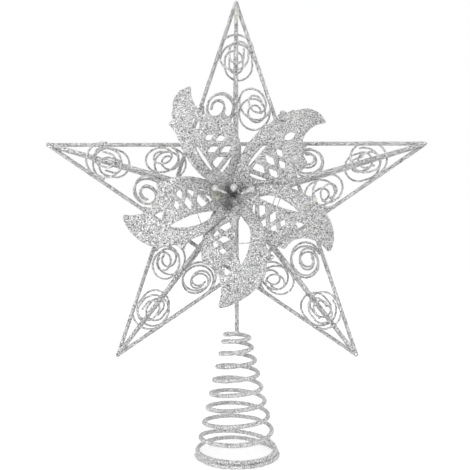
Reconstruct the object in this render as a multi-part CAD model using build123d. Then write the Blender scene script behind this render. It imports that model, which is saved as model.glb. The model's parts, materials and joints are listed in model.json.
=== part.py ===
from build123d import *
import math
import os

# Star frame: five crossing outline wires, ribs to a front and a back hub, and a post between the hubs
STAR_WIDTH = 250.0
STAR_TOP = 131.0
STAR_SHOULDER = 37.0
STAR_FOOT_WIDTH = 158.0
STAR_FOOT_DROP = 102.5
STAR_CENTRE_HEIGHT = 167.0
OUTLINE_WIRE = 2.6
OUTLINE_JOG = 36.0
RIB_WIRE = 2.4
RIB_START = 4.0
HUB_DEPTH = 19.0
POST_DIAMETER = 4.0
FIT_GAP = 0.15

# Scrolls of thin wire, wound from half circles and short runs that crowd together on one side
SCROLL_WIRE = 1.4
TIP_SCROLL_RADIUS = 10.8
TIP_SCROLL_RUN = 4.0
BASE_SCROLL_RADIUS = 10.7
BASE_SCROLL_RUN = 1.0
SCROLL_HALF_TURNS = 4
SCROLL_CROWD = 1.5
SCROLL_SPREAD = 3.2

# Conical spring and the stem above it, of one wire size
SPRING_WIRE = 2.6
SPRING_TURNS = 10.15
SPRING_BASE_RADIUS = 26.5
SPRING_TOP_RADIUS = 7.6
SPRING_START_ANGLE = 190.0
SPRING_BASE_PITCH = 10.1
SPRING_TOP_PITCH = 7.6
SPRING_CLOSE_PITCH = 4.4
SPRING_LAP_FROM = 0.55
SPRING_LAP_TO = 0.95
SPRING_LAP_CLEARANCE = 0.2
SPRING_RISE_FROM = 0.95
SPRING_EASE = 0.4
SPRING_TOP_TURNS = 1.4
SPRING_NECK_HEIGHT = 6.5
SPRING_END_RUN = 3.0
SPRING_FLAT_DEPTH = 0.5
ARCS_PER_TURN = 4

# Flower, glued a little off the star's axis: base, openwork petals on an arched sheet, centre and stamens
FLOWER_SIDE = -2.0
FLOWER_RISE = 2.0
FLOWER_BASE_RADIUS = 9.0
FLOWER_BASE_THICKNESS = 2.0
PETAL_ANGLES = [50, 124, 203, 273, 342]
PETAL_FLARES = [0.0, 0.0, 1.0, 1.0, 0.5]
PETAL_ROOT = 2.2
PETAL_ROOT_HALF_WIDTH = 1.3
PETAL_LENGTH = 69.0
PETAL_THICKNESS = 1.1
PETAL_ARCH = 9.0
PETAL_TWIST = 8.0
PETAL_SWEEP = 120.0
PETAL_TIP_ROUND = 1.6
LATTICE_BAR = 2.1
CENTRE_RADIUS = 1.6
CENTRE_HEIGHT = 2.6
CENTRE_ROUND = 0.3
STAMEN_WIRE = 0.8
STAMEN_RING = 0.9
STAMEN_FOOT = 1.5
STAMEN_HEAD = 3.4
STAMEN_HEIGHT = 12.0

TIPS = {
    "top": Vector(0, STAR_TOP),
    "upper_left": Vector(-STAR_WIDTH / 2, STAR_SHOULDER),
    "lower_left": Vector(-STAR_FOOT_WIDTH / 2, -STAR_FOOT_DROP),
    "lower_right": Vector(STAR_FOOT_WIDTH / 2, -STAR_FOOT_DROP),
    "upper_right": Vector(STAR_WIDTH / 2, STAR_SHOULDER),
}
ARMS = list(TIPS)
FRONT = Vector(0, 0, 1)
OUTLINE_DEPTH = (OUTLINE_WIRE + FIT_GAP) / 2
STAR_PLANE_Y = SPRING_WIRE / 2 + FIT_GAP + OUTLINE_DEPTH + OUTLINE_WIRE / 2
POST_HALF_LENGTH = HUB_DEPTH + RIB_WIRE / 2 + FIT_GAP
STAR = Plane(origin=(0, STAR_PLANE_Y, STAR_CENTRE_HEIGHT), x_dir=(1, 0, 0), z_dir=(0, -1, 0))


def rod(start, end, diameter):
    along = Vector(end) - Vector(start)
    return Solid.make_cylinder(diameter / 2, along.length, Plane(origin=start, z_dir=along))


def tube(path, diameter):
    section = Plane(origin=path @ 0, z_dir=path % 0) * Circle(diameter / 2)
    return sweep(section, path=path).solid()


def least_gap(path, diameter):
    count = int(path.length / (diameter / 2))
    points = [path @ (index / count) for index in range(count + 1)]
    apart = int(4 * diameter / (path.length / count))
    pairs = ((points[i], points[j]) for i in range(count) for j in range(i + apart, count + 1))
    return min((first - second).length for first, second in pairs) - diameter


# Star geometry, in the star's own frame: +X right, +Y up, +Z to the front, the hub at the origin
def tip(arm):
    return TIPS[ARMS[arm % len(ARMS)]]


def crossing(arm):
    along = tip(arm + 2) - tip(arm)
    across = tip(arm + 1) - tip(arm - 1)
    share = (tip(arm - 1) - tip(arm)).cross(across).Z / along.cross(across).Z
    return tip(arm) + along * share


def beside_crossing(arm, flank):
    return crossing(arm) if flank > 0 else crossing(arm - 1)


def tip_half_angle(arm):
    to_hub = tip(arm) * -1
    return min(math.radians(to_hub.get_angle(beside_crossing(arm, flank) - tip(arm))) for flank in (1, -1))


# Outline wires: each lies in front at its first tip and behind at its last
def outline_wire(arm):
    start = tip(arm)
    end = tip(arm + 2)
    along = (end - start).normalized()
    lift = FRONT * OUTLINE_DEPTH
    middle = (crossing(arm) + crossing(arm + 1)) * 0.5
    jog_start = middle - along * (OUTLINE_JOG / 2) + lift
    jog_end = middle + along * (OUTLINE_JOG / 2) - lift
    first_bend = TangentArc(jog_start, middle, tangent=along)
    second_bend = TangentArc(middle, jog_end, tangent=first_bend % 1)
    runs = [Line(start + lift, jog_start), first_bend, second_bend, Line(jog_end, end - lift)]
    return tube(Wire(runs), OUTLINE_WIRE)


# Ribs, from beside a tip to the post
def rib_ends(arm, side):
    reach = (OUTLINE_WIRE + RIB_WIRE) / 2 + FIT_GAP
    beside = RIB_START * math.sin(tip_half_angle(arm))
    tip_depth = OUTLINE_DEPTH + math.sqrt(max(reach**2 - beside**2, 0))
    slope = math.atan2(HUB_DEPTH - tip_depth, tip(arm).length)
    hub_radius = POST_DIAMETER / 2 + FIT_GAP + RIB_WIRE / 2 * math.sin(slope)
    outward = tip(arm).normalized()
    start = outward * (tip(arm).length - RIB_START) + FRONT * (side * tip_depth)
    end = outward * hub_radius + FRONT * (side * HUB_DEPTH)
    return start, end


def rib(arm, side):
    start, end = rib_ends(arm, side)
    return rod(start, end, RIB_WIRE)


# Scrolls: half circles of shrinking radius with runs between them, and a short straight end
def scroll(centre, crowd, across, radius, run):
    middle = centre + across * (run / 2)
    point = middle + crowd * radius
    way = 1
    edges = []
    for half_turn in range(SCROLL_HALF_TURNS):
        crest = middle + across * (radius * way)
        far = middle - crowd * (radius * way)
        run_end = far - across * (run * way)
        edges += [ThreePointArc(point, crest, far), Line(far, run_end)]
        step = SCROLL_SPREAD if half_turn % 2 else SCROLL_CROWD
        middle = middle - crowd * (step * way) - across * (run * way)
        radius = radius - step
        point = run_end
        way = -way
    edges.append(Line(point, point + across * (radius * way)))
    path = Wire(edges)
    scroll_gaps.append(least_gap(path, SCROLL_WIRE))
    return tube(path, SCROLL_WIRE)


# A tip scroll lies on the outside of its rib
def tip_scroll(arm, side):
    rib_start, rib_end = rib_ends(arm, side)
    along = (rib_end - rib_start).normalized()
    beside = FRONT.cross(along).normalized()
    outside = along.cross(beside) * side
    to_centre = (TIP_SCROLL_RADIUS + OUTLINE_WIRE / 2) / math.sin(tip_half_angle(arm))
    rise = (RIB_WIRE + SCROLL_WIRE) / 2 + FIT_GAP
    centre = rib_start + along * (to_centre - RIB_START) + outside * rise
    return scroll(centre, beside * side, along * -1, TIP_SCROLL_RADIUS, TIP_SCROLL_RUN)


# A base scroll lies between its rib and an outline wire, in the plane of the rib's axis
def base_scroll(arm, side, flank):
    rib_start, rib_end = rib_ends(arm, side)
    on_outline = beside_crossing(arm, flank) + FRONT * (flank * OUTLINE_DEPTH)
    along_rib = (rib_end - rib_start).normalized()
    along_outline = (beside_crossing(arm, flank) - tip(arm)).normalized()
    square = along_rib.cross(along_outline)
    sine = square.length
    to_corner = (on_outline - rib_start).cross(along_outline).dot(square) / sine**2
    corner = rib_start + along_rib * to_corner
    to_outline_axis = BASE_SCROLL_RADIUS + (OUTLINE_WIRE + SCROLL_WIRE) / 2 + FIT_GAP
    to_rib_axis = BASE_SCROLL_RADIUS + (RIB_WIRE + SCROLL_WIRE) / 2 + FIT_GAP
    inward = (along_rib + along_outline).normalized()
    outer = corner + (along_rib * to_outline_axis + along_outline * to_rib_axis) * (1 / sine)
    centre = outer + inward * (BASE_SCROLL_RUN / 2)
    to_outline = (along_outline - along_rib).normalized()
    return scroll(centre, to_outline, inward, BASE_SCROLL_RADIUS, BASE_SCROLL_RUN)


def arm_scrolls(arm, side):
    return [tip_scroll(arm, side), base_scroll(arm, side, 1), base_scroll(arm, side, -1)]


# Spring: a conical helix on pairs of tangent arcs, closed at the base, bent up into the stem at the top
def ease(turn, start):
    past = turn - start
    if past <= 0:
        return 0
    if past < SPRING_EASE:
        return past**2 / (2 * SPRING_EASE)
    return past - SPRING_EASE / 2


def spring_height(turn):
    lap = min(max((turn - SPRING_LAP_FROM) / (SPRING_LAP_TO - SPRING_LAP_FROM), 0), 1)
    risen = ease(turn, SPRING_RISE_FROM)
    rising_turns = SPRING_TURNS - SPRING_RISE_FROM
    softening = (SPRING_BASE_PITCH - SPRING_TOP_PITCH) * risen**2 / (2 * rising_turns)
    closing = (SPRING_TOP_PITCH - SPRING_CLOSE_PITCH) * ease(turn, SPRING_TURNS - SPRING_TOP_TURNS)
    lap_rise = (SPRING_WIRE + SPRING_LAP_CLEARANCE) * lap**2 * (3 - 2 * lap)
    return SPRING_WIRE / 2 - SPRING_FLAT_DEPTH + lap_rise + SPRING_BASE_PITCH * risen - softening - closing


def spring_point(turn):
    height = spring_height(turn)
    lowest = spring_height(0)
    share = (height - lowest) / (spring_height(SPRING_TURNS) - lowest)
    radius = SPRING_BASE_RADIUS + (SPRING_TOP_RADIUS - SPRING_BASE_RADIUS) * share
    angle = math.radians(SPRING_START_ANGLE + 360 * turn)
    return Vector(radius * math.cos(angle), radius * math.sin(angle), height)


def spring_tangent(turn):
    step = 1e-4
    return (spring_point(turn + step) - spring_point(turn - step)).normalized()


def two_arcs(start, start_way, end, end_way):
    chord = end - start
    ways = start_way + end_way
    spread = 2 * (1 - start_way.dot(end_way))
    lean = chord.dot(ways)
    reach = (math.sqrt(lean**2 + spread * chord.dot(chord)) - lean) / spread
    first_corner = start + start_way * reach
    second_corner = end - end_way * reach
    middle = (first_corner + second_corner) * 0.5
    return [
        TangentArc(start, middle, tangent=start_way),
        TangentArc(middle, end, tangent=second_corner - first_corner),
    ]


def spring_stations():
    count = round(SPRING_TURNS * ARCS_PER_TURN / 2)
    turns = [SPRING_TURNS * index / count for index in range(count + 1)]
    stations = [(spring_point(turn), spring_tangent(turn)) for turn in turns]
    neck = Vector(0, 0, stations[-1][0].Z + SPRING_NECK_HEIGHT)
    return stations + [(neck, Vector(0, 0, 1))]


def spring_path():
    stations = spring_stations()
    start, start_way = stations[0]
    top = stations[-1][0]
    edges = [Line(start - start_way * SPRING_WIRE, start)]
    for (point, way), (next_point, next_way) in zip(stations, stations[1:]):
        edges += two_arcs(point, way, next_point, next_way)
    edges.append(Line(top, top + Vector(0, 0, SPRING_END_RUN)))
    return Wire(edges)


def coil_spring():
    path = spring_path()
    whole = tube(path, SPRING_WIRE)
    section = math.pi * SPRING_WIRE**2 / 4
    print("spring volume over section times length", round(whole.volume / (section * path.length), 4))
    print("spring least gap to itself, mm", round(least_gap(path, SPRING_WIRE), 2))
    width = 4 * SPRING_BASE_RADIUS
    above_floor = Pos(0, 0, STAR_CENTRE_HEIGHT / 2) * Box(width, width, STAR_CENTRE_HEIGHT)
    return (whole & above_floor).solid()


def stem():
    foot = spring_stations()[-1][0] + Vector(0, 0, SPRING_END_RUN)
    top = STAR_CENTRE_HEIGHT - POST_DIAMETER / 2 - FIT_GAP
    return rod(foot, (0, 0, top), SPRING_WIRE)


# Petals, in their own frame: the petal along +X, the front along +Z, the base's front face at zero
def flared(narrow, wide, flare):
    return Vector(narrow) * (1 - flare) + Vector(wide) * flare


def petal_outline(flare):
    root_left = Vector(PETAL_ROOT, PETAL_ROOT_HALF_WIDTH)
    waist = flared((42.0, 10.8), (33.0, 14.3), flare)
    tooth = flared((54.0, 10.5), (40.0, 20.0), flare)
    notch = flared((54.6, 6.6), (43.6, 16.4), flare)
    shoulder = flared((61.0, 3.5), (57.0, 12.6), flare)
    hook_tip = Vector(PETAL_LENGTH, -14.0)
    throat = Vector(50.5, -9.6)
    lobe = Vector(41.5, -20.5)
    root_right = Vector(PETAL_ROOT, -PETAL_ROOT_HALF_WIDTH)
    outline = make_face([
        SagittaArc(root_left, waist, 2.2),
        SagittaArc(waist, tooth, -0.9),
        SagittaArc(tooth, notch, 0.6),
        SagittaArc(notch, shoulder, 1.0),
        SagittaArc(shoulder, hook_tip, 4.0),
        SagittaArc(hook_tip, throat, -2.6),
        SagittaArc(throat, lobe, -1.6),
        SagittaArc(lobe, root_right, 2.6),
        Line(root_right, root_left),
    ])
    return fillet(outline.vertices().sort_by_distance(hook_tip)[0], PETAL_TIP_ROUND)


def lens(start, first_crest, end, second_crest):
    return make_face([ThreePointArc(start, first_crest, end), ThreePointArc(end, second_crest, start)])


def petal_openings(flare):
    slot = lens(
        flared((13.0, 2.0), (13.0, 4.6), flare),
        flared((29.0, 4.2), (30.0, 8.6), flare),
        flared((41.0, 3.0), (45.0, 5.0), flare),
        flared((29.0, 2.4), (31.0, 2.8), flare),
    )
    tip_hole = lens((42.0, -2.0), (46.0, -0.9), (50.0, -4.2), (45.5, -5.2))
    panel = lens((13.5, -0.2), (28.0, 0.4), (40.0, -5.5), (26.0, -11.0))
    steep_bars = [(19.0, 28), (25.5, 26), (32.0, 24), (38.0, 22)]
    flat_bars = [(22.0, -40), (30.5, -42), (38.0, -40)]
    for along, turn in steep_bars + flat_bars:
        panel = panel - Pos(along, -5.0) * Rot(Z=turn) * Rectangle(LATTICE_BAR, PETAL_LENGTH)
    return [slot, tip_hole] + list(panel.faces())


def arched_sheet():
    middle = (PETAL_ROOT + PETAL_LENGTH) / 2
    half_span = (PETAL_LENGTH - PETAL_ROOT) / 2
    arch_radius = (half_span**2 + PETAL_ARCH**2) / (2 * PETAL_ARCH)
    centre = Pos(middle, PETAL_ARCH - arch_radius)
    ring = centre * Circle(arch_radius) - centre * Circle(arch_radius - PETAL_THICKNESS)
    window = Pos(middle, 0) * Rectangle(PETAL_LENGTH, 4 * PETAL_ARCH)
    profile = Plane.XZ * (ring & window)
    return revolve(Rot(Z=-PETAL_SWEEP / 2) * profile, Axis.Z, PETAL_SWEEP)


def petal(flare):
    blank = petal_outline(flare)
    for opening in petal_openings(flare):
        blank = blank - opening
    block = Pos(0, 0, -2 * PETAL_ARCH) * extrude(blank, 4 * PETAL_ARCH)
    sheet = Rot(X=PETAL_TWIST) * arched_sheet()
    seat = FIT_GAP + PETAL_THICKNESS + PETAL_ROOT_HALF_WIDTH * math.sin(math.radians(PETAL_TWIST))
    return Pos(0, 0, seat) * (block & sheet).solid()


# Heart of the flower
def flower_base():
    back = Plane((0, 0, -FLOWER_BASE_THICKNESS))
    return Solid.make_cylinder(FLOWER_BASE_RADIUS, FLOWER_BASE_THICKNESS, back)


def flower_centre():
    boss = Solid.make_cylinder(CENTRE_RADIUS, CENTRE_HEIGHT)
    rim = boss.edges().sort_by(Axis.Z)[-1:]
    return boss.fillet(min(CENTRE_ROUND, CENTRE_RADIUS - STAMEN_RING - STAMEN_WIRE / 2), rim)


def stamen(reach):
    foot = Vector(STAMEN_RING, 0, CENTRE_HEIGHT)
    bend = foot + FRONT * STAMEN_FOOT
    head = Vector(reach, 0, CENTRE_HEIGHT + STAMEN_HEIGHT - reach / 2)
    path = Wire([Line(foot, bend), TangentArc(bend, head, tangent=FRONT)])
    way = path % 1
    bead = Pos(head) * Sphere(STAMEN_HEAD / 2)
    neck = Plane(origin=head - way * STAMEN_HEAD, z_dir=way) * Cone(
        STAMEN_WIRE / 2, STAMEN_HEAD / 2, STAMEN_HEAD, align=(Align.CENTER, Align.CENTER, Align.MIN)
    )
    return (tube(path, STAMEN_WIRE) + neck + bead).solid()


def stamens():
    spread = [(18, 11.8), (88, 5.4), (157, 12.0)]
    return [Rot(Z=angle) * stamen(reach) for angle, reach in spread]


def star_pieces():
    pieces = {}
    for arm, name in enumerate(ARMS):
        pieces[f"outline_wire_{arm + 1}"] = [outline_wire(arm)]
        pieces[f"front_rib_{name}"] = [rib(arm, 1)]
        pieces[f"back_rib_{name}"] = [rib(arm, -1)]
        pieces[f"front_scrolls_{name}"] = arm_scrolls(arm, 1)
        pieces[f"back_scrolls_{name}"] = arm_scrolls(arm, -1)
    pieces["centre_post"] = [rod(FRONT * -POST_HALF_LENGTH, FRONT * POST_HALF_LENGTH, POST_DIAMETER)]
    return pieces


def flower_pieces():
    to_flower = Pos(FLOWER_SIDE, FLOWER_RISE, POST_HALF_LENGTH + FLOWER_BASE_THICKNESS)
    pieces = {}
    for index, (angle, flare) in enumerate(zip(PETAL_ANGLES, PETAL_FLARES)):
        pieces[f"petal_{index + 1}"] = [Rot(Z=angle) * petal(flare)]
    pieces["flower_base"] = [flower_base()]
    pieces["flower_centre"] = [flower_centre()]
    pieces["stamens"] = stamens()
    return {name: [to_flower * solid for solid in solids] for name, solids in pieces.items()}


scroll_gaps = []
on_star = {**star_pieces(), **flower_pieces()}
print("scrolls' least gap to themselves, mm", round(min(scroll_gaps), 2))
pieces = {name: [STAR.location * solid for solid in solids] for name, solids in on_star.items()}
pieces["stem"] = [stem()]
pieces["coil_spring"] = [coil_spring()]

os.makedirs("parts", exist_ok=True)
for name, solids in pieces.items():
    export_step(Compound(children=solids) if len(solids) > 1 else solids[0], f"parts/{name}.step")
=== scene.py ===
import json
import math

import bmesh
import bpy
import numpy as np
from mathutils import Matrix, Vector
from mathutils.bvhtree import BVHTree


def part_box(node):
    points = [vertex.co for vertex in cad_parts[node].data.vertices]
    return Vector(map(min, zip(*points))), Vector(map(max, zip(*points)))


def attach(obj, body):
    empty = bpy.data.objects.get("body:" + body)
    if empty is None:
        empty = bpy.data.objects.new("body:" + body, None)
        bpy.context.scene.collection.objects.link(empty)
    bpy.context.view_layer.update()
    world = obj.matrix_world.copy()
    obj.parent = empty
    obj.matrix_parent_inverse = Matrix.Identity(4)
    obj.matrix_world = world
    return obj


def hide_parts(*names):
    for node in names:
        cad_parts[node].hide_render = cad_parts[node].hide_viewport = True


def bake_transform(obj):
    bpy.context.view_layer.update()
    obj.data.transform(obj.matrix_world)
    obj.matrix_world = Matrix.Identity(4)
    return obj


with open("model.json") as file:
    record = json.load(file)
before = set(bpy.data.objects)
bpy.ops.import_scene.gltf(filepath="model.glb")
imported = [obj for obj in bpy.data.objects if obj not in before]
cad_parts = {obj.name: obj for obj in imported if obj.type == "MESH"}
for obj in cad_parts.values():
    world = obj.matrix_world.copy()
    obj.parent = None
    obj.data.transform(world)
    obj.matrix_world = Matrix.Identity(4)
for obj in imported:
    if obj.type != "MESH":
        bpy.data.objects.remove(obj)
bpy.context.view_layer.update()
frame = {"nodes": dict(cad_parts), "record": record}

# Camera, from the places of the star's tips in the photograph: lean in degrees, shift in pixels
PHOTO_SIZE = 470
SENSOR = 36.0
FOCAL_PIXELS = 587.5
CAMERA_DISTANCE = 0.385
CAMERA_HEIGHT = 0.1304
CAMERA_SIDE = -0.0011
CAMERA_LEAN = -0.1
FRAME_SHIFT = 20.4
CLIP_START = 0.01

# Glitter coat: its grains and flakes in metres, and the darkest and lightest flake of each slot
GRAIN_HEIGHT = 0.00013
FLAKE = 0.00032
FLAKE_TILT = 1.1
FLAKE_MEAN = 0.5
FLAKE_METAL = 0.7
FLAKE_ROUGHNESS = (0.18, 0.5)
GRAIN_SIZES = {
    "frame_wire": 0.00045,
    "scroll_wire": 0.0004,
    "spring_wire": 0.00045,
    "petal_sheet": 0.0005,
    "flower_heart": 0.0005,
    "stamen_bead": 0.0003,
}
FLAKE_TONES = {
    "frame_wire": (0.13, 1.0),
    "scroll_wire": (0.15, 1.0),
    "spring_wire": (0.27, 1.0),
    "petal_sheet": (0.14, 1.0),
    # The flower's heart is kept dark as painted shade of the recess between the petals' roots
    "flower_heart": (0.05, 0.4),
    "stamen_bead": (0.45, 1.0),
}
FLAKE_STEP = (0.35, 0.65)
SEED = 12

# Patches with more or fewer light flakes, and the thickness of the coat where it stands proud
PATCH = 0.013
PATCH_STRENGTH = 0.12
COATS = {"petal_sheet": 0.00025, "stamen_bead": 0.0004, "spring_wire": 0.00007}

# Painted shade round the flower's heart and over the petals' inner halves, where the petals' roots dip
# and shade each other: place from its centre, inner and outer radius, and tone
PAINTED_HEART_SHADES = {
    "petal_sheet": [
        ((0, -0.003, 0), 0.016, 0.055, 0.83),
        ((0, -0.003, 0), 0.001, 0.018, 0.85),
        ((-0.0042, -0.003, 0.0033), 0.001, 0.0045, 0.45),
        ((0.006, -0.003, 0.0043), 0.001, 0.005, 0.4),
        ((-0.0028, -0.004, -0.0088), 0.002, 0.006, 0.45),
        ((0.0036, -0.004, -0.0067), 0.001, 0.003, 0.5),
    ],
    # The stamens' wires are painted in shade near the heart; their bead heads stay light
    "stamen_bead": [((0, 0, 0), 0.0115, 0.0135, 0.22)],
}

# Petals as bent by hand: bearing, turn, size and sideways drift of each, and their spread near the roots
PETALS = {
    "petal_1": (50, -1.5, 1.05, 0),
    "petal_2": (124, -1.5, 1.035, 0),
    "petal_3": (203, -1.5, 1.01, 0),
    "petal_4": (273, 1, 1.02, 0.0042),
    "petal_5": (342, -2, 1.0, 0.0026),
}
PETAL_HALF_WIDTH = 0.016
PETAL_SPREAD = 0.7
PETAL_SPREAD_END = 0.045

# The stamens droop by this share of how far they stand out from the flower
STAMEN_DROOP = 0.22

# The spring's second turn is pressed down on its first: bearing of its start, place, reach and press
SPRING_START = 190
SECOND_TURN_HEIGHT = 0.0032
SECOND_TURN_RISE = 0.0085
SECOND_TURN_REACH = 0.0022
SECOND_TURN_PRESS = 0.0026

# Bends in the low turns of the spring: middle bearing, half width, lowest and highest place, and rise
SPRING_BENDS = [(100, 80, 0, 0.006, 0.0012), (280, 90, 0.0095, 0.0195, -0.0013)]

# The top arm's back rib bows to the side
BOWED_RIB = "back_rib_top"
RIB_BOW = -0.001

# Lumps of coated solder: at the star's tips, and where scrolls touch the wires
ARMS = ["top", "upper_left", "lower_left", "lower_right", "upper_right"]
TIP_LUMP = (0.0028, 0.0016, 0.0024)
TIP_LUMP_OUT = 0.0024
WELD_RADIUS = 0.0011
WELD_REACH = 0.0004
WELD_SPACING = 0.005
LUMP_HEIGHT = 0.0002
LUMP_SUBDIVISIONS = 3

# The search for a surface starts this far in front of the flower
RAY_START = 1.0

# Thin wires across petals' slots: petal and distance from the flower's centre, and ends beside its middle
CROSS_WIRES = [("petal_3", 0.025), ("petal_4", 0.031), ("petal_5", 0.025), ("petal_5", 0.028)]
CROSS_WIRE_ENDS = (0.0015, 0.009)
CROSS_WIRE_RADIUS = 0.0003
CROSS_WIRE_SIDES = 12
MILLIMETRES_PER_METRE = 1000

# Smears of hot glue: what they lie on, tones, and the drops' places beside the flower's centre and radii
HEART_GLUE_DROPS = [
    ((-0.0105, 0.0025), 0.0032),
    ((-0.0098, -0.002), 0.003),
    ((-0.0125, -0.001), 0.0026),
    ((-0.0078, 0.0005), 0.0022),
]
EDGE_GLUE_DROPS = [((0.0495, -0.005), 0.0014)]
TIP_GLUE_DROPS = [((0.0022, 0.1165), 0.0011), ((0.003, 0.1185), 0.0012), ((0.0032, 0.1205), 0.001)]
GLUE_SMEARS = {
    "heart_glue": (PETALS, 0.15, 0.65, HEART_GLUE_DROPS),
    "edge_glue": (["petal_5"], 0.6, 1.0, EDGE_GLUE_DROPS),
    "tip_glue": (["front_rib_top"], 0.5, 1.0, TIP_GLUE_DROPS),
}
GLUE_FLATNESS = 0.25
GLUE_TINT = (1.0, 1.0, 0.88)

# Floor and light
FLOOR_SIZE = 8.0
FLOOR_COLOR = 0.5
FLOOR_GLOW = 0.65
WORLD_LIGHT = 0.85
SUN_STRENGTH = 0.95
SUN_SPREAD = 40
SUN_TILT = 76
SUN_TURN = -10


# Materials
def new_material(name):
    material = bpy.data.materials.new(name)
    material.use_nodes = True
    nodes = material.node_tree.nodes
    return material, nodes, material.node_tree.links, nodes["Principled BSDF"]


def flake_color(nodes, links, place, level, dark, light, tint):
    patches = nodes.new("ShaderNodeTexNoise")
    patches.inputs["Scale"].default_value = 1 / PATCH
    links.new(place, patches.inputs["Vector"])
    density = nodes.new("ShaderNodeMapRange")
    density.inputs["To Min"].default_value = -PATCH_STRENGTH
    density.inputs["To Max"].default_value = PATCH_STRENGTH
    links.new(patches.outputs["Fac"], density.inputs["Value"])
    patchy = nodes.new("ShaderNodeMath")
    links.new(level, patchy.inputs[0])
    links.new(density.outputs["Result"], patchy.inputs[1])
    tone = nodes.new("ShaderNodeValToRGB")
    for element, position, shade in zip(tone.color_ramp.elements, FLAKE_STEP, (dark, light)):
        element.position = position
        element.color = (*(shade * part for part in tint), 1)
    links.new(patchy.outputs["Value"], tone.inputs["Fac"])
    return tone.outputs["Color"]


# Painted shade: darkens a colour near a spot beside the flower's centre, by the distance from that spot
def paint_shade_near(nodes, links, color, place, spot, inner, outer, tone):
    away = nodes.new("ShaderNodeVectorMath")
    away.operation = "DISTANCE"
    away.inputs[1].default_value = middle_of("flower_base") + Vector(spot)
    links.new(place, away.inputs[0])
    shade = nodes.new("ShaderNodeMapRange")
    shade.interpolation_type = "SMOOTHSTEP"
    shade.inputs["From Min"].default_value = inner
    shade.inputs["From Max"].default_value = outer
    shade.inputs["To Min"].default_value = tone
    links.new(away.outputs["Value"], shade.inputs["Value"])
    darker = nodes.new("ShaderNodeVectorMath")
    darker.operation = "SCALE"
    links.new(color, darker.inputs[0])
    links.new(shade.outputs["Result"], darker.inputs["Scale"])
    return darker.outputs["Vector"]


def tilted_normal(nodes, links, flakes):
    about_zero = nodes.new("ShaderNodeVectorMath")
    about_zero.operation = "SUBTRACT"
    about_zero.inputs[1].default_value = (FLAKE_MEAN, FLAKE_MEAN, FLAKE_MEAN)
    links.new(flakes, about_zero.inputs[0])
    surface = nodes.new("ShaderNodeNewGeometry")
    tilted = nodes.new("ShaderNodeVectorMath")
    tilted.operation = "MULTIPLY_ADD"
    tilted.inputs[1].default_value = (FLAKE_TILT, FLAKE_TILT, FLAKE_TILT)
    links.new(about_zero.outputs["Vector"], tilted.inputs[0])
    links.new(surface.outputs["Normal"], tilted.inputs[2])
    facing = nodes.new("ShaderNodeVectorMath")
    facing.operation = "NORMALIZE"
    links.new(tilted.outputs["Vector"], facing.inputs[0])
    return facing.outputs["Vector"]


def glitter(name, dark, light, tint=(1, 1, 1), painted_shades=()):
    material, nodes, links, shader = new_material(name)
    place = nodes.new("ShaderNodeTexCoord").outputs["Object"]
    flakes = nodes.new("ShaderNodeTexVoronoi")
    flakes.inputs["Scale"].default_value = 1 / FLAKE
    links.new(place, flakes.inputs["Vector"])
    split = nodes.new("ShaderNodeSeparateColor")
    links.new(flakes.outputs["Color"], split.inputs["Color"])
    color = flake_color(nodes, links, place, split.outputs["Red"], dark, light, tint)
    # Painted shade round the flower's heart darkens the flakes' colour
    for shade in painted_shades:
        color = paint_shade_near(nodes, links, color, place, *shade)
    links.new(color, shader.inputs["Base Color"])
    rough = nodes.new("ShaderNodeMapRange")
    rough.inputs["To Min"].default_value, rough.inputs["To Max"].default_value = FLAKE_ROUGHNESS
    links.new(split.outputs["Green"], rough.inputs["Value"])
    links.new(rough.outputs["Result"], shader.inputs["Roughness"])
    links.new(tilted_normal(nodes, links, flakes.outputs["Color"]), shader.inputs["Normal"])
    shader.inputs["Metallic"].default_value = FLAKE_METAL
    return material


# Pieces and places
def middle_of(node):
    low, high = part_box(node)
    return (low + high) / 2


def turned(along, beside, angle):
    across = along * math.cos(angle) - beside * math.sin(angle)
    up = along * math.sin(angle) + beside * math.cos(angle)
    return across, up


def add_piece(name, mesh, material):
    mesh.materials.clear()
    mesh.materials.append(material)
    piece = bpy.data.objects.new(name, mesh)
    bpy.context.scene.collection.objects.link(piece)
    return piece


def add_star_piece(name, mesh, material):
    piece = add_piece(name, mesh, material)
    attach(piece, "star")


def mesh_from(shape, name):
    mesh = bpy.data.meshes.new(name)
    shape.to_mesh(mesh)
    shape.free()
    return mesh


# Coats: each part's shape, remeshed to the size of the grains and roughened
def coated_mesh(node, grain):
    rough = bpy.data.objects.new("rough", frame["nodes"][node].data.copy())
    bpy.context.scene.collection.objects.link(rough)
    remesh = rough.modifiers.new("grain", "REMESH")
    remesh.mode = "VOXEL"
    remesh.voxel_size = grain
    evaluated = rough.evaluated_get(bpy.context.evaluated_depsgraph_get())
    mesh = bpy.data.meshes.new_from_object(evaluated)
    bpy.data.objects.remove(rough)
    return mesh


def read_vertices(mesh, field):
    values = np.empty(len(mesh.vertices) * 3)
    mesh.vertices.foreach_get(field, values)
    return values.reshape(-1, 3)


def move_vertices(mesh, places):
    mesh.vertices.foreach_set("co", places.ravel())
    mesh.update()


def roughen(mesh, height, numbers, coat=0):
    lift = coat + numbers.uniform(-height, height, (len(mesh.vertices), 1))
    move_vertices(mesh, read_vertices(mesh, "co") + read_vertices(mesh, "normal") * lift)


def bend_petal(mesh, petal):
    bearing, turn, size, drift = PETALS[petal]
    places = read_vertices(mesh, "co")
    centre = middle_of("flower_base")
    angle = math.radians(bearing)
    along, beside = turned(places[:, 0] - centre.x, places[:, 2] - centre.z, -angle)
    along = size * along
    beside = size * beside
    beside *= 1 + PETAL_SPREAD * np.clip(1 - along / PETAL_SPREAD_END, 0, 1)
    from_edge = np.clip(1 - (beside / PETAL_HALF_WIDTH) ** 2, 0, 1)
    from_root = np.clip(along / PETAL_HALF_WIDTH, 0, 1)
    beside -= drift * from_edge * from_root
    across, up = turned(along, beside, angle + math.radians(turn))
    places[:, 0] = centre.x + across
    places[:, 2] = centre.z + up
    move_vertices(mesh, places)


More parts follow.
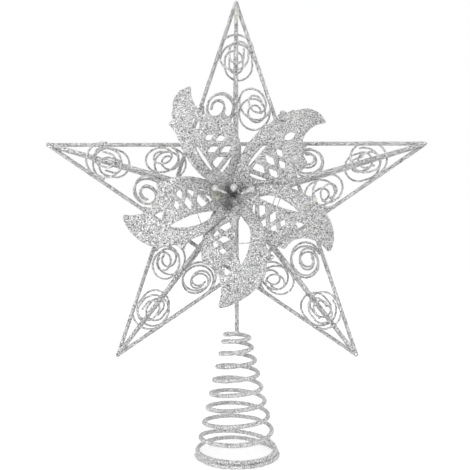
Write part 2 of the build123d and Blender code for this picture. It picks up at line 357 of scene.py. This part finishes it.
def droop(mesh):
    places = read_vertices(mesh, "co")
    places[:, 2] -= STAMEN_DROOP * (middle_of("flower_base").y - places[:, 1])
    move_vertices(mesh, places)


def bend_spring(mesh):
    places = read_vertices(mesh, "co")
    angle = np.degrees(np.arctan2(places[:, 1], places[:, 0]))
    share = (angle - SPRING_START) % 360 / 360
    height = SECOND_TURN_HEIGHT + SECOND_TURN_RISE * share
    second = abs(places[:, 2] - height) < SECOND_TURN_REACH
    rise = second * -SECOND_TURN_PRESS * np.sin(math.pi * share) ** 2
    for bearing, half_width, low, high, amount in SPRING_BENDS:
        aside = abs((angle - bearing + 180) % 360 - 180)
        bent = (aside < half_width) & (places[:, 2] > low) & (places[:, 2] < high)
        rise += bent * amount * np.cos(math.pi / 2 * aside / half_width) ** 2
    places[:, 2] += rise
    move_vertices(mesh, places)


def bow_rib(mesh):
    places = read_vertices(mesh, "co")
    height = places[:, 2]
    share = (height - height.min()) / (height.max() - height.min())
    places[:, 0] += RIB_BOW * np.sin(math.pi * share)
    move_vertices(mesh, places)


def bend(mesh, node):
    if node in PETALS:
        bend_petal(mesh, node)
    elif node == "stamens":
        droop(mesh)
    elif node == BOWED_RIB:
        bow_rib(mesh)
    elif node == "coil_spring":
        bend_spring(mesh)


def make_coats(silver, numbers):
    for subpart in frame["record"]["subparts"]:
        node = subpart["node"]
        slot = subpart["material_slot"]
        mesh = coated_mesh(node, GRAIN_SIZES[slot])
        roughen(mesh, GRAIN_HEIGHT, numbers, COATS.get(slot, 0))
        bend(mesh, node)
        piece = add_piece(f"{node}_coat", mesh, silver[slot])
        if node == "coil_spring":
            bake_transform(piece)
        else:
            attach(piece, "star")
        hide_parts(node)


# Lumps of coated solder
def lumps_mesh(name, places, numbers):
    shape = bmesh.new()
    for place in places:
        bmesh.ops.create_icosphere(shape, subdivisions=LUMP_SUBDIVISIONS, radius=1, matrix=place)
    mesh = mesh_from(shape, name)
    roughen(mesh, LUMP_HEIGHT, numbers)
    return mesh


def points_of(node):
    return np.array([vertex.co for vertex in frame["nodes"][node].data.vertices])


def surface_of(mesh):
    return BVHTree.FromPolygons([v.co for v in mesh.vertices], [p.vertices for p in mesh.polygons])


def make_tip_lump(arm, silver, numbers):
    centre = middle_of("centre_post")
    ends = []
    for side in ("front", "back"):
        points = points_of(f"{side}_rib_{arm}")
        away = np.linalg.norm(points - np.array(centre), axis=1)
        ends.append(points[away > away.max() - WELD_RADIUS].mean(axis=0))
    rib_end = Vector((ends[0] + ends[1]) / 2)
    outward = (rib_end - centre).normalized()
    depth = Vector((0, 1, 0))
    turn = Matrix((outward, outward.cross(depth), depth)).transposed().to_4x4()
    place = Matrix.Translation(rib_end + outward * TIP_LUMP_OUT) @ turn @ Matrix.Diagonal((*TIP_LUMP, 1))
    name = f"tip_lump_{arm}"
    add_star_piece(name, lumps_mesh(name, [place], numbers), silver["frame_wire"])


def weld_points(node, wires):
    found = []
    for wire in wires:
        surface = surface_of(frame["nodes"][wire].data)
        for vertex in frame["nodes"][node].data.vertices:
            place, _, _, gap = surface.find_nearest(vertex.co, WELD_REACH)
            if place is not None:
                found.append((gap, (place + vertex.co) / 2))
    kept = []
    for _, point in sorted(found, key=lambda item: item[0]):
        if all((point - other).length > WELD_SPACING for other in kept):
            kept.append(point)
    return kept


def make_welds(side, arm, silver, numbers):
    node = f"{side}_scrolls_{arm}"
    outlines = [name for name in frame["nodes"] if name.startswith("outline_wire")]
    points = weld_points(node, outlines + [f"{side}_rib_{arm}"])
    places = [Matrix.Translation(point) @ Matrix.Scale(WELD_RADIUS, 4) for point in points]
    name = f"{node}_welds"
    add_star_piece(name, lumps_mesh(name, places, numbers), silver["scroll_wire"])


# Small things set on what lies in front, at places beside the flower's centre
def front_of(meshes, across, up):
    start = middle_of("flower_base") + Vector((across, -RAY_START, up))
    hits = [surface_of(mesh).ray_cast(start, Vector((0, 1, 0)))[0] for mesh in meshes]
    return min((hit for hit in hits if hit is not None), key=lambda hit: hit.y)


def make_cross_wire(petal, away, silver):
    angle = math.radians(PETALS[petal][0])
    ends = []
    for beside in CROSS_WIRE_ENDS:
        ends.append(front_of([frame["nodes"][petal].data], *turned(away, beside, angle)))
    span = ends[1] - ends[0]
    turn = span.to_track_quat("Z", "Y").to_matrix().to_4x4()
    place = Matrix.Translation((ends[0] + ends[1]) / 2) @ turn
    shape = bmesh.new()
    radius = CROSS_WIRE_RADIUS
    bmesh.ops.create_cone(
        shape,
        cap_ends=True,
        segments=CROSS_WIRE_SIDES,
        radius1=radius,
        radius2=radius,
        depth=span.length,
        matrix=place,
    )
    name = f"{petal}_cross_wire_{round(away * MILLIMETRES_PER_METRE)}"
    mesh = mesh_from(shape, name)
    bend_petal(mesh, petal)
    add_star_piece(name, mesh, silver["petal_sheet"])


def make_glue_smear(name, under, dark, light, drops, numbers):
    coats = [bpy.data.objects[f"{node}_coat"].data for node in under]
    places = []
    for spot, radius in drops:
        shape = Matrix.Diagonal((radius, radius * GLUE_FLATNESS, radius, 1))
        places.append(Matrix.Translation(front_of(coats, *spot)) @ shape)
    material = glitter(name, dark, light, tint=GLUE_TINT)
    add_star_piece(name, lumps_mesh(name, places, numbers), material)


# Camera, floor and light
def make_camera():
    data = bpy.data.cameras.new("camera")
    data.sensor_width = SENSOR
    data.lens = FOCAL_PIXELS / PHOTO_SIZE * SENSOR
    data.shift_y = FRAME_SHIFT / PHOTO_SIZE
    data.clip_start = CLIP_START
    camera = bpy.data.objects.new("camera", data)
    place = Matrix.Translation((CAMERA_SIDE, -CAMERA_DISTANCE, CAMERA_HEIGHT))
    level = Matrix.Rotation(math.pi / 2, 4, "X")
    lean = Matrix.Rotation(math.radians(CAMERA_LEAN), 4, "Z")
    camera.matrix_world = place @ level @ lean
    bpy.context.scene.collection.objects.link(camera)
    bpy.context.scene.camera = camera


def seen_directly(nodes, links):
    path = nodes.new("ShaderNodeLightPath")
    total = path.outputs["Is Camera Ray"]
    for ray in ("Is Glossy Ray", "Is Transmission Ray"):
        either = nodes.new("ShaderNodeMath")
        either.operation = "MAXIMUM"
        links.new(total, either.inputs[0])
        links.new(path.outputs[ray], either.inputs[1])
        total = either.outputs["Value"]
    return total


def make_floor():
    mesh = bpy.data.meshes.new("floor")
    half = FLOOR_SIZE / 2
    corners = [(-half, -half, 0), (half, -half, 0), (half, half, 0), (-half, half, 0)]
    mesh.from_pydata(corners, [], [(0, 1, 2, 3)])
    material, nodes, links, shader = new_material("white_floor")
    shader.inputs["Base Color"].default_value = (FLOOR_COLOR, FLOOR_COLOR, FLOOR_COLOR, 1)
    shader.inputs["Specular IOR Level"].default_value = 0
    shader.inputs["Emission Color"].default_value = (1, 1, 1, 1)
    glow = nodes.new("ShaderNodeMath")
    glow.operation = "MULTIPLY"
    glow.inputs[1].default_value = FLOOR_GLOW
    links.new(seen_directly(nodes, links), glow.inputs[0])
    links.new(glow.outputs["Value"], shader.inputs["Emission Strength"])
    add_piece("floor", mesh, material)


def make_world():
    world = bpy.data.worlds.new("studio")
    bpy.context.scene.world = world
    world.use_nodes = True
    nodes, links = world.node_tree.nodes, world.node_tree.links
    strength = nodes.new("ShaderNodeMapRange")
    strength.inputs["To Min"].default_value = WORLD_LIGHT
    strength.inputs["To Max"].default_value = 1
    links.new(seen_directly(nodes, links), strength.inputs["Value"])
    nodes["Background"].inputs["Color"].default_value = (1, 1, 1, 1)
    links.new(strength.outputs["Result"], nodes["Background"].inputs["Strength"])


def make_sun():
    data = bpy.data.lights.new("sun", "SUN")
    data.energy = SUN_STRENGTH
    data.angle = math.radians(SUN_SPREAD)
    sun = bpy.data.objects.new("sun", data)
    sun.rotation_euler = (math.radians(SUN_TILT), 0, math.radians(SUN_TURN))
    bpy.context.scene.collection.objects.link(sun)


bpy.context.scene.view_settings.view_transform = "Standard"
make_camera()
make_floor()
make_world()
make_sun()

numbers = np.random.default_rng(SEED)
silver = {}
for slot, tones in FLAKE_TONES.items():
    silver[slot] = glitter(f"{slot}_glitter", *tones, painted_shades=PAINTED_HEART_SHADES.get(slot, ()))
make_coats(silver, numbers)
for arm in ARMS:
    make_tip_lump(arm, silver, numbers)
    make_welds("front", arm, silver, numbers)
    make_welds("back", arm, silver, numbers)
for petal, away in CROSS_WIRES:
    make_cross_wire(petal, away, silver)
for name, smear in GLUE_SMEARS.items():
    make_glue_smear(name, *smear, numbers)
